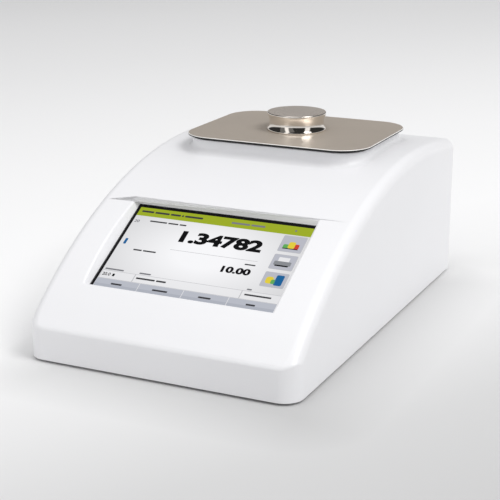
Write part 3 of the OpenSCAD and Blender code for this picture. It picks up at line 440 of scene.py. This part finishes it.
def number(name, text, left, top, right, bottom, layer, weight=0.02):    # fits the figures into a box
    bpy.ops.object.select_all(action="DESELECT")
    bpy.ops.object.text_add()
    piece = bpy.context.object
    piece.data.body = text
    piece.data.offset = weight
    piece.data.resolution_u = 6
    bpy.ops.object.convert(target="MESH")
    piece = settle(name)
    low = [min(v.co[i] for v in piece.data.vertices) for i in (0, 1)]
    high = [max(v.co[i] for v in piece.data.vertices) for i in (0, 1)]
    piece.scale = ((right - left) * mm / (high[0] - low[0]), (bottom - top) * mm / (high[1] - low[1]), 1)
    piece.location = (-(low[0] + high[0]) / 2 * piece.scale[0], -(low[1] + high[1]) / 2 * piece.scale[1], 0)
    useOnly(piece)
    bpy.ops.object.transform_apply(location=True, rotation=True, scale=True)
    return onDisplay(piece, (left + right) / 2, (top + bottom) / 2, layer)


def wordBars(name, left, top, height, lengths, layer=3, space=1.2):    # stand for words that aren't copied
    bars = []
    for length in lengths:
        bars.append(tile(name, left, top, left + length, top + height, layer, height * 0.3))
        left += length + space
    return bars


# finishes

def newMaterial(name, color, roughness, metallic=0.0, **more):
    material = bpy.data.materials.new(name)
    material.use_nodes = True
    shader = material.node_tree.nodes["Principled BSDF"]
    shader.inputs["Base Color"].default_value = (*color, 1)
    shader.inputs["Roughness"].default_value = roughness
    shader.inputs["Metallic"].default_value = metallic
    for key, value in more.items():
        shader.inputs[key].default_value = value
    return material


def addNode(material, kind, **values):
    node = material.node_tree.nodes.new("ShaderNode" + kind)
    for key, value in values.items():
        if hasattr(node, key):
            setattr(node, key, value)
        else:
            node.inputs[key.replace("_", " ")].default_value = value
    return node


def join(material, output, target):
    material.node_tree.links.new(output, target)


def coordinates(material, stretch=(1, 1, 1), middle=(0, 0, 0), tilt=0):    # metres, from a middle given in mm
    place = addNode(material, "TexCoord")
    move = addNode(material, "Mapping", Location=Vector(middle) * -mm)
    join(material, place.outputs["Object"], move.inputs["Vector"])
    lay = addNode(material, "Mapping", Rotation=(-tilt, 0, 0))
    join(material, move.outputs["Vector"], lay.inputs["Vector"])
    scale = addNode(material, "Mapping", Scale=stretch)
    join(material, lay.outputs["Vector"], scale.inputs["Vector"])
    return scale.outputs["Vector"]


def ramp(material, source, stops):    # stops of (place, colour or grey)
    node = addNode(material, "ValToRGB")
    while len(node.color_ramp.elements) < len(stops):
        node.color_ramp.elements.new(0.5)
    for element, (place, color) in zip(node.color_ramp.elements, stops):
        element.position = place
        element.color = (color, color, color, 1) if isinstance(color, (int, float)) else (*color, 1)
    join(material, source, node.inputs["Fac"])
    return node.outputs["Color"]


def scaled(color, share):
    return tuple(min(c * share, 1) for c in color)


def finish(name, look):    # a colour with cloudy and fine grain, uneven gloss and a fine relief
    color = look["color"]
    material = newMaterial(name, color, look["gloss"][0], look.get("metallic", 0), **look.get("more", {}))
    shader = material.node_tree.nodes["Principled BSDF"]
    point = coordinates(material, look.get("stretch", (1, 1, 1)), look.get("middle", (0, 0, 0)))
    flat = coordinates(material)
    cloud = addNode(material, "TexNoise", Scale=look.get("cloud", 40), Detail=3.0)
    join(material, flat, cloud.inputs["Vector"])
    if look.get("pattern") == "rings":    # marks of the lathe round the middle
        grain = addNode(material, "TexWave", wave_type="RINGS", rings_direction="Z", Scale=look["grain"],
                        Distortion=look.get("waver", 0.4), Detail=3.0, Detail_Scale=2.0)
    elif look.get("pattern") == "cells":
        grain = addNode(material, "TexVoronoi", Scale=look["grain"])
    else:
        grain = addNode(material, "TexNoise", Scale=look["grain"], Detail=6.0, Roughness=0.6)
    join(material, point, grain.inputs["Vector"])
    fine = grain.outputs["Color"] if look.get("pattern") == "cells" else grain.outputs[
        "Fac" if "Fac" in grain.outputs else "Distance"]
    swing = look.get("swing", 0.04)
    tint = ramp(material, cloud.outputs["Fac"], [(0.3, scaled(color, 1 - swing)), (0.7, scaled(color, 1 + swing))])
    speck = ramp(material, fine, [(0.25, 1 - look.get("speck", 0.05)), (0.75, 1.0)])
    mix = addNode(material, "Mix", data_type="RGBA", blend_type="MULTIPLY")
    mix.inputs["Factor"].default_value = 1
    join(material, tint, mix.inputs["A"])
    join(material, speck, mix.inputs["B"])
    join(material, mix.outputs["Result"], shader.inputs["Base Color"])
    gloss = addNode(material, "MapRange", To_Min=look["gloss"][0], To_Max=look["gloss"][1])
    join(material, fine, gloss.inputs["Value"])
    join(material, gloss.outputs["Result"], shader.inputs["Roughness"])
    if look.get("relief"):
        bump = addNode(material, "Bump", Strength=look.get("strength", 0.3), Distance=look["relief"] * mm)
        join(material, fine, bump.inputs["Height"])
        join(material, bump.outputs["Normal"], shader.inputs["Normal"])
    return material


plateMiddle = (0, plinthMiddle, 0)
looks = {
    "white_shell": {"color": (0.86, 0.86, 0.875), "gloss": (0.3, 0.42), "grain": 2600, "cloud": 9, "swing": 0.006,
                    "speck": 0.012, "relief": 0.02, "strength": 0.12, "more": {"IOR": 1.5}},
    "zinc_sheet": {"color": (0.6, 0.61, 0.62), "metallic": 0.9, "gloss": (0.32, 0.5), "grain": 130,
                   "pattern": "cells", "cloud": 30, "swing": 0.05, "speck": 0.16},
    "black_rubber": {"color": (0.022, 0.022, 0.022), "gloss": (0.75, 0.9), "grain": 1500, "cloud": 60,
                     "swing": 0.15, "speck": 0.2, "relief": 0.03},
    "screw_steel": {"color": (0.62, 0.62, 0.63), "metallic": 1, "gloss": (0.18, 0.34), "grain": 900, "cloud": 120,
                    "swing": 0.06, "speck": 0.08, "relief": 0.01},
    "grey_panel": {"color": (0.6, 0.605, 0.61), "gloss": (0.42, 0.58), "grain": 1100, "pattern": "cells",
                   "cloud": 14, "swing": 0.02, "speck": 0.05, "relief": 0.03},
    "screen_glass": {"color": (0.006, 0.006, 0.008), "gloss": (0.06, 0.1), "grain": 60, "cloud": 12, "swing": 0.2,
                     "speck": 0.1, "more": {"IOR": 1.5}},
    "plain_aluminium": {"color": (0.72, 0.725, 0.735), "metallic": 1, "gloss": (0.26, 0.44), "grain": 240,
                        "stretch": (1, 12, 1), "cloud": 40, "swing": 0.05, "speck": 0.1, "relief": 0.02},
    "stage_steel": {"color": (0.68, 0.6, 0.515), "metallic": 0.45, "gloss": (0.3, 0.46), "grain": 260,
                    "stretch": (1, 18, 18), "cloud": 16, "swing": 0.03, "speck": 0.08, "relief": 0.006,
                    "strength": 0.25},
    "prism_glass": {"color": (0.86, 0.93, 0.93), "gloss": (0.02, 0.06), "grain": 90, "cloud": 40, "swing": 0.03,
                    "speck": 0.03, "more": {"Transmission Weight": 0.85, "IOR": 1.65}},
    "black_aluminium": {"color": (0.03, 0.03, 0.032), "metallic": 0.7, "gloss": (0.35, 0.5), "grain": 700,
                        "stretch": (1, 6, 1), "cloud": 50, "swing": 0.12, "speck": 0.15, "relief": 0.01},
    "amber_resin": {"color": (0.85, 0.55, 0.12), "gloss": (0.08, 0.16), "grain": 300, "cloud": 150, "swing": 0.06,
                    "speck": 0.06, "more": {"Transmission Weight": 0.4}},
    "white_ceramic": {"color": (0.8, 0.8, 0.77), "gloss": (0.55, 0.75), "grain": 1500, "cloud": 90, "swing": 0.04,
                      "speck": 0.08, "relief": 0.02},
    "spacer_brass": {"color": (0.72, 0.53, 0.22), "metallic": 1, "gloss": (0.18, 0.34), "grain": 800,
                     "cloud": 120, "swing": 0.07, "speck": 0.1, "relief": 0.01},
    "port_steel": {"color": (0.66, 0.665, 0.67), "metallic": 1, "gloss": (0.16, 0.3), "grain": 700,
                   "stretch": (1, 1, 8), "cloud": 90, "swing": 0.05, "speck": 0.08, "relief": 0.008},
    "black_plastic": {"color": (0.02, 0.02, 0.021), "gloss": (0.45, 0.62), "grain": 1400, "pattern": "cells",
                      "cloud": 70, "swing": 0.15, "speck": 0.2, "relief": 0.03},
    "green_board": {"color": (0.02, 0.13, 0.06), "gloss": (0.25, 0.4), "grain": 150, "pattern": "cells",
                    "cloud": 60, "swing": 0.12, "speck": 0.3, "relief": 0.02},
}
finishes = {slot: finish(slot.replace("_", " ").title().replace(" ", ""), look) for slot, look in looks.items()}
lidSide = finish("PolishedSteel", {"color": (0.85, 0.8, 0.74), "metallic": 1, "gloss": (0.04, 0.1), "grain": 500,
                                   "stretch": (1, 1, 14), "middle": plateMiddle, "cloud": 60, "swing": 0.02,
                                   "speck": 0.03})
lidTop = finish("TurnedSteel", {"color": (0.68, 0.615, 0.555), "metallic": 0.45, "gloss": (0.24, 0.38), "grain": 320,
                                "pattern": "rings", "middle": plateMiddle, "cloud": 30, "swing": 0.03,
                                "speck": 0.07, "relief": 0.004, "strength": 0.2})
finishes["lid_steel"] = lidTop
slotOf = {row["node"]: row["material_slot"] for row in frame["record"]["subparts"]}
for node, slot in slotOf.items():
    piece = frame["nodes"][node]
    for holder in piece.material_slots:
        holder.material = finishes[slot]


def dress(piece, *materials):
    piece.data.materials.clear()
    for material in materials:
        piece.data.materials.append(material)


dress(housingShell, finishes["white_shell"])
# painted highlight and shade on the plate's edge: the top edge round is near white, and the sides and underside are
# near black in place of the shadow gap below the plate
plateHighlight = finish("PaintedEdgeHighlight", {"color": (0.97, 0.95, 0.92), "metallic": 0.1, "gloss": (0.12, 0.2), "grain": 400,
                                    "stretch": (1, 1, 9), "cloud": 30, "swing": 0.02, "speck": 0.04})
plateShade = finish("EdgeShade", {"color": (0.012, 0.012, 0.012), "gloss": (0.5, 0.7), "grain": 500, "cloud": 30,
                                  "swing": 0.1, "speck": 0.2})
dress(stagePlate, finishes["stage_steel"], plateHighlight, plateShade)
# faces of the top edge round take the painted highlight, the other side and underside faces take the painted shade
for face in stagePlate.data.polygons:
    if face.normal.z < 0.97 and face.center.z / mm > plateHigh.z - stage["edge"] - 0.02:
        face.material_index = 1
    elif face.normal.z < 0.9:
        face.material_index = 2
dress(turnedLid, lidSide, lidTop)
for face in turnedLid.data.polygons:
    flat = face.normal.z > 0.98 or face.normal.z < -0.98
    face.material_index = 1 if flat else 0
print("finishes given to", len(slotOf), "nodes")


# colours of the picture; each glows by itself, as a lit panel does

def lit(name, color, edge=1.0, spread=0.09):    # fades towards an edge colour away from the picture's middle
    material = newMaterial(name, (0, 0, 0), 0.35)
    shader = material.node_tree.nodes["Principled BSDF"]
    shader.inputs["Specular IOR Level"].default_value = 0.06
    shader.inputs["Emission Strength"].default_value = 1
    point = coordinates(material, (1 / spread, 1 / (spread * 0.62), 1), (0, screenY, screenZ), screenTilt)
    ball = addNode(material, "TexGradient", gradient_type="SPHERICAL")
    join(material, point, ball.inputs["Vector"])
    shade = ramp(material, ball.outputs["Fac"], [(0.0, scaled(color, edge)), (0.75, color)])
    join(material, shade, shader.inputs["Emission Color"])
    return material


inks = {
    "paper": lit("litPaper", (0.93, 0.93, 0.95), 0.74), "frame": lit("litFrame", (0.004, 0.004, 0.005)),
    "olive": lit("litOlive", (0.33, 0.41, 0.02)), "ink": lit("litInk", (0.003, 0.003, 0.004)),
    "greyInk": lit("litGreyInk", (0.2, 0.2, 0.22)), "smallInk": lit("litSmallInk", (0.045, 0.045, 0.05)),
    "line": lit("litLine", (0.5, 0.5, 0.52)),
    "field": lit("litField", (0.86, 0.86, 0.88), 0.9), "button": lit("litButton", (0.48, 0.5, 0.56)),
    "buttonLow": lit("litButtonLow", (0.42, 0.44, 0.5)), "iconBack": lit("litIconBack", (0.48, 0.49, 0.55)),
    "blue": lit("litBlue", (0.01, 0.12, 0.32)), "red": lit("litRed", (0.6, 0.05, 0.03)),
    "yellow": lit("litYellow", (0.75, 0.6, 0.05)), "green": lit("litGreen", (0.12, 0.4, 0.1)),
    "grey": lit("litGrey", (0.25, 0.26, 0.28)),
}
picture = []


def paint(ink, *pieces):
    for piece in pieces:
        dress(piece, inks[ink])
        picture.append(piece)


def paintPicture():
    wide, high = display["width"], display["height"]
    paint("frame", tile("frame", -2.1, -3, wide + 4, high + 4, -0.7))
    paint("paper", tile("paper", 0, 0, wide + 1.5, high + 2.5, 0))
    paint("olive", tile("header", 0, 0, wide + 1.5, 9.5, 1))
    paint("smallInk", *wordBars("headerWords", 3, 3.4, 2, (11, 13, 9, 1.6, 16)))
    paint("greyInk", *wordBars("headerDate", 84, 3.8, 2, (16, 12)), *wordBars("headerMark", 138.5, 3.8, 2, (1.6,)))
    paint("greyInk", number("mark", "20", 1.5, 14.4, 6, 17.4, 3))
    paint("smallInk", *wordBars("label", 15, 13.6, 1.5, (15.5, 9, 6)))
    paint("ink", number("reading", display["reading"], 48.5, 20, 119.5, 33, 3, 0.05))
    paint("blue", tile("step", 3.4, 36, 5.8, 42.4, 2, 0.8))
    paint("line", tile("divider", 46, 41.6, 121.5, 42, 2))
    paint("smallInk", *wordBars("secondLabel", 15.5, 46.4, 1.5, (7.5, 11.5)), *wordBars("unit", 112.5, 45.6, 1.3, (9,)))
    paint("ink", number("second", display["second"], 96, 50.6, 120.5, 57.4, 3, 0.05))
    for left, right, cap, length in ((1, 30, 2, 16.5), (30.5, 121.5, 32.5, 10), (122, wide + 1.5, 124.5, 4)):
        paint("line", tile("fieldEdge", left - 0.4, 72.2, right, 80.8, 1))
        paint("field", tile("field", left, 72.6, right - 0.3, 80.5, 2))
        paint("greyInk", *wordBars("caption", cap, 69.9, 1.5, (length,)))
    paint("ink", number("degrees", display["degrees"], 2, 74.6, 9.2, 77.8, 3), tile("unitC", 11, 75, 13, 77.8, 3, 0.4))
    paint("smallInk", *wordBars("sample", 32, 75.2, 1.7, (16.5, 8.5)), *wordBars("user", 124.5, 75.2, 1.6, (22,)))
    for k, length in enumerate((9.5, 13, 10.5, 7.5)):
        left = wide / 4 * k
        paint("button", tile("button", left + 0.25, 81, left + wide / 4 - 0.25 + (2 if k == 3 else 0), 86.4, 2))
        paint("buttonLow", tile("buttonLow", left + 0.25, 86.4, left + wide / 4 - 0.25 + (2 if k == 3 else 0),
                                high + 2.5, 2))
        paint("smallInk", *wordBars("buttonWord", left + wide / 8 - length / 2, 84.6, 1.7, (length,), 4))
    paintIcons()


def paintIcons():
    for top, bottom in ((10.5, 28), (31, 47), (50, 65.5)):
        paint("line", tile("iconEdge", 132, top, 151.6, bottom, 2, 1.2))
        paint("iconBack", tile("iconBack", 132.4, top + 0.4, 151.2, bottom - 0.4, 3, 1))
    paint("yellow", tile("gaugeMiddle", 139, 17, 144.5, 24, 5, 1.6))
    paint("green", tile("gaugeLow", 135, 20, 139.6, 24.4, 4, 1.2))
    paint("red", tile("gaugeHigh", 143.8, 19, 148, 24.4, 4, 1.2))
    paint("ink", tile("gaugeBase", 135, 24, 148, 24.9, 6, 0.3))
    paint("field", tile("sheet", 137, 34, 146, 38.5, 4, 0.3))
    paint("grey", tile("printer", 134.5, 38.2, 148.5, 42.6, 5, 0.8))
    paint("ink", tile("printerSlot", 136, 42.2, 147, 43.6, 6, 0.4))
    paint("yellow", tile("dropYellow", 135, 55, 141, 62, 4, 2))
    paint("green", tile("dropGreen", 139.5, 57.5, 143, 62, 5, 1.2))
    paint("blue", tile("dropBlue", 142.4, 52.4, 148.8, 63.2, 5, 1.2))


paintPicture()
screenPicture = joinAll("screenPicture", picture)
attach(screenPicture, "root")
print("screen picture painted:", len(screenPicture.data.polygons), "faces")


# floor, light and camera

studio = {
    "ambient": 0.665, "skew": 0.7, "contact": 0.8, "contactHalf": (0.1, 0.165), "contactFade": 0.06,
    "contactMiddle": (18, -26, 0),
    # floor colour by distance along the view: a painted pool of light, brightest round the housing and darker near the
    # camera and far off
    "floor": ((-0.5, 0.54), (-0.3, 0.62), (-0.15, 0.75), (0.04, 0.88), (0.2, 0.92), (0.6, 0.92), (1.0, 0.9),
              (1.5, 0.87), (2.2, 0.85), (3.0, 0.8)),
    "lamps": {    # place and size in mm, power in watts
        "rightLamp": ((2000, -350, 2700), (1500, 1500), 47),
        "topLamp": ((-250, -700, 3200), (1500, 1500), 14),
        "fillLamp": ((-900, -2450, 1300), (3000, 2400), 3),
    },
    "camera": (454.9, -979.5, 380.1), "yaw": 25.229, "pitch": 16.83, "lens": 96.3,
}
bpy.ops.object.select_all(action="DESELECT")
bpy.ops.mesh.primitive_plane_add(size=12, location=(0, 0, -0.05 * mm))
floor = bpy.context.object
floor.name = "floor"
floorPaint = newMaterial("floorPaint", (0.9, 0.9, 0.905), 0.9)
# painted pool of light: the floor colour is brightest round the housing and darker near the camera, far off and, by the
# skew, to one side
away = addNode(floorPaint, "Mapping", Rotation=(0, 0, math.radians(-studio["yaw"])))
join(floorPaint, addNode(floorPaint, "TexCoord").outputs["Object"], away.inputs["Vector"])
split = addNode(floorPaint, "SeparateXYZ")
join(floorPaint, away.outputs["Vector"], split.inputs["Vector"])
aside = addNode(floorPaint, "Math", operation="MULTIPLY")
aside.inputs[1].default_value = -studio["skew"]
join(floorPaint, split.outputs["X"], aside.inputs[0])
reach = addNode(floorPaint, "Math", operation="ADD")
join(floorPaint, split.outputs["Y"], reach.inputs[0])
join(floorPaint, aside.outputs["Value"], reach.inputs[1])
first, last = studio["floor"][0][0], studio["floor"][-1][0]
distance = addNode(floorPaint, "MapRange", From_Min=first, From_Max=last)
join(floorPaint, reach.outputs["Value"], distance.inputs["Value"])
paintedLightPool = ramp(floorPaint, distance.outputs["Result"],
            [((place - first) / (last - first), grey) for place, grey in studio["floor"]])
near = coordinates(floorPaint, (1, 1, 0), studio["contactMiddle"])    # painted shadow: the floor colour is darker close round the housing
for work, amount in (("ABSOLUTE", None), ("SUBTRACT", (*studio["contactHalf"], 0)), ("MAXIMUM", (0, 0, 0))):
    step = addNode(floorPaint, "VectorMath", operation=work)
    if amount:
        step.inputs[1].default_value = amount
    join(floorPaint, near, step.inputs[0])
    near = step.outputs["Vector"]
outside = addNode(floorPaint, "VectorMath", operation="LENGTH")
join(floorPaint, near, outside.inputs[0])
spread = addNode(floorPaint, "MapRange", From_Max=studio["contactFade"])
join(floorPaint, outside.outputs["Value"], spread.inputs["Value"])
# painted shadow: the floor colour darkens near the housing and fades out away from it
contact = ramp(floorPaint, spread.outputs["Result"], [(0.0, studio["contact"]), (1.0, 1.0)])
shadeMix = addNode(floorPaint, "Mix", data_type="RGBA", blend_type="MULTIPLY")
shadeMix.inputs["Factor"].default_value = 1
join(floorPaint, paintedLightPool, shadeMix.inputs["A"])
join(floorPaint, contact, shadeMix.inputs["B"])
join(floorPaint, shadeMix.outputs["Result"], floorPaint.node_tree.nodes["Principled BSDF"].inputs["Base Color"])
floor.data.materials.append(floorPaint)

world = bpy.data.worlds.new("studio") if not bpy.context.scene.world else bpy.context.scene.world
bpy.context.scene.world = world
world.use_nodes = True
sky = addNode(world, "TexCoord")
skyParts = addNode(world, "SeparateXYZ")
join(world, sky.outputs["Generated"], skyParts.inputs["Vector"])
around = addNode(world, "TexGradient", gradient_type="RADIAL")
join(world, sky.outputs["Generated"], around.inputs["Vector"])
boxes = ramp(world, around.outputs["Fac"], [(0.0, 0.03), (0.17, 0.03), (0.18, 1.0), (0.215, 1.0), (0.225, 0.03),
                                            (0.41, 0.03), (0.42, 1.0), (0.47, 1.0), (0.48, 0.03)])
band = ramp(world, skyParts.outputs["Z"], [(0.0, 0.0), (0.06, 0.0), (0.14, 1.0), (0.8, 1.0), (0.9, 0.0)])
mirrored = addNode(world, "Mix", data_type="RGBA")    # metal sees a dark band with two bright windows
mirrored.inputs["A"].default_value = (0.8, 0.8, 0.8, 1)
join(world, band, mirrored.inputs["Factor"])
join(world, boxes, mirrored.inputs["B"])
path = addNode(world, "LightPath")
light = addNode(world, "Mix", data_type="RGBA")
light.inputs["A"].default_value = (studio["ambient"], studio["ambient"], studio["ambient"] * 1.01, 1)
join(world, path.outputs["Is Glossy Ray"], light.inputs["Factor"])
join(world, mirrored.outputs["Result"], light.inputs["B"])
join(world, light.outputs["Result"], world.node_tree.nodes["Background"].inputs["Color"])
world.node_tree.nodes["Background"].inputs["Strength"].default_value = 1


def addLamp(name, place, size, power, target=(0, 0, 60)):
    bpy.ops.object.light_add(type="AREA", location=Vector(place) * mm)
    lamp = bpy.context.object
    lamp.name = name
    lamp.data.shape = "RECTANGLE"
    lamp.data.size, lamp.data.size_y = size[0] * mm, size[1] * mm
    lamp.data.energy = power
    lamp.rotation_euler = ((Vector(target) - Vector(place)) * mm).to_track_quat("-Z", "Y").to_euler()
    return lamp


for name, (place, size, power) in studio["lamps"].items():
    addLamp(name, place, size, power)

bpy.ops.object.camera_add(location=Vector(studio["camera"]) * mm,
                          rotation=(math.radians(90 - studio["pitch"]), 0, math.radians(studio["yaw"])))
camera = bpy.context.object
camera.data.lens = studio["lens"]
camera.data.sensor_width = 36
camera.data.clip_start, camera.data.clip_end = 0.01, 50
bpy.context.scene.camera = camera
bpy.context.scene.view_settings.view_transform = "Standard"
print("floor, light and camera set")
